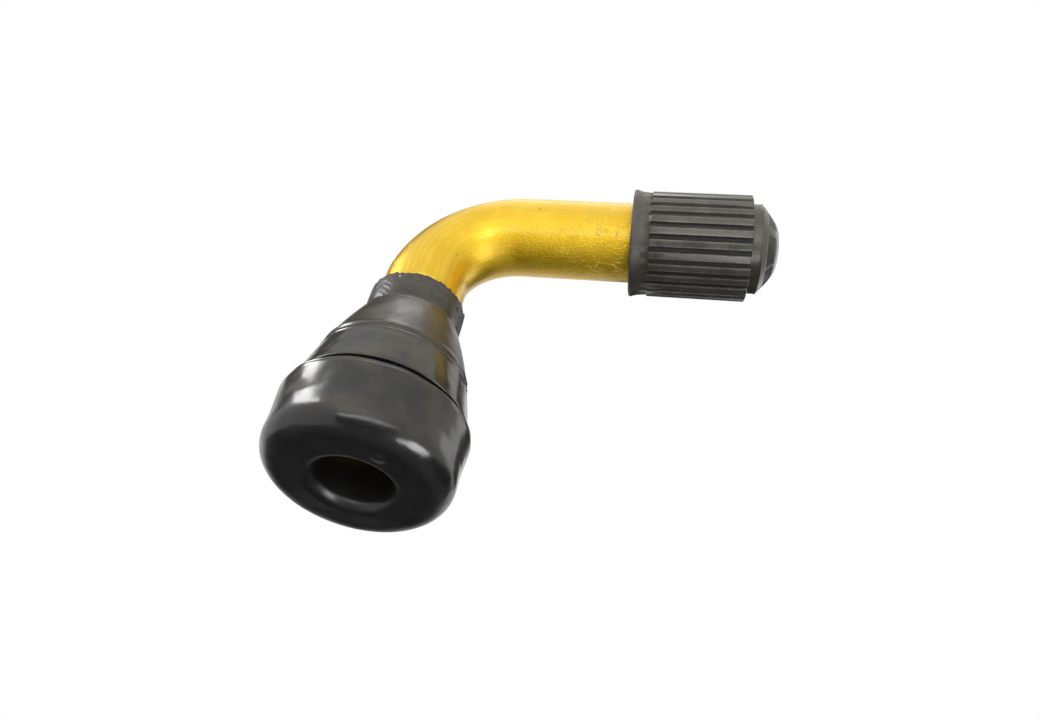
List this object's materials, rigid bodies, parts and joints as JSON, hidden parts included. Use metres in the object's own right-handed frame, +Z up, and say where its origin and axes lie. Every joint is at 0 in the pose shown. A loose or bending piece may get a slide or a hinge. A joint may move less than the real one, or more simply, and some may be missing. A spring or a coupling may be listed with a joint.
{
  "type": "tyre valve",
  "caption": "Snap-in tubeless tyre valve: bent metal stem moulded into a rubber base that seals in a wheel rim hole, spring valve core inside, ribbed screw-on dust cap.",
  "frame": {"origin": "centre of the rim seat, on the base's axis at the top face of the rubber button", "axes": "+Z up the base's axis, from the rim seat towards the stem; +X along the bent leg towards the cap"},
  "size_m": [0.0421, 0.0166, 0.038],
  "materials": {
    "base_rubber": "moulded black rubber with a soft sheen",
    "gold_stem": "gold anodised, satin",
    "core_brass": "turned brass",
    "core_gasket": "smooth fluoropolymer",
    "spring_steel": "drawn wire",
    "seal_rubber": "smooth black rubber",
    "cap_plastic": "moulded black plastic, satin"
  },
  "bodies": {
    "valve_body": {"rubber_base": "base_rubber", "stem": "gold_stem", "core_plug": "core_brass", "core_barrel": "core_brass", "core_gasket": "core_gasket", "core_spring": "spring_steel"},
    "core_plunger": {"core_pin": "core_brass", "core_cup": "core_brass", "core_washer": "seal_rubber"},
    "cap_slider": {"cap_seal": "seal_rubber"},
    "dust_cap": {"cap": "cap_plastic"}
  },
  "joints": [
    {"name": "pin_press", "type": "slide", "parent": "valve_body", "child": "core_plunger", "axis": [-1, 0, 0], "range_m": [0, 0.0015], "stiffness_N_per_m": 500, "springref_m": -0.003, "deforming": ["core_spring"]},
    {"name": "cap_travel", "type": "slide", "parent": "valve_body", "child": "cap_slider", "axis": [1, 0, 0], "range_m": [0, 0.00953]},
    {"name": "cap_turn", "type": "hinge", "parent": "cap_slider", "child": "dust_cap", "pos_m": [0.03025, 0, 0.0259], "axis": [1, 0, 0], "range_deg": [0, 4320]}
  ],
  "couplings": [
    {"joint": "cap_turn", "follows": "cap_travel", "rad_per_m": 7915.8}
  ]
}
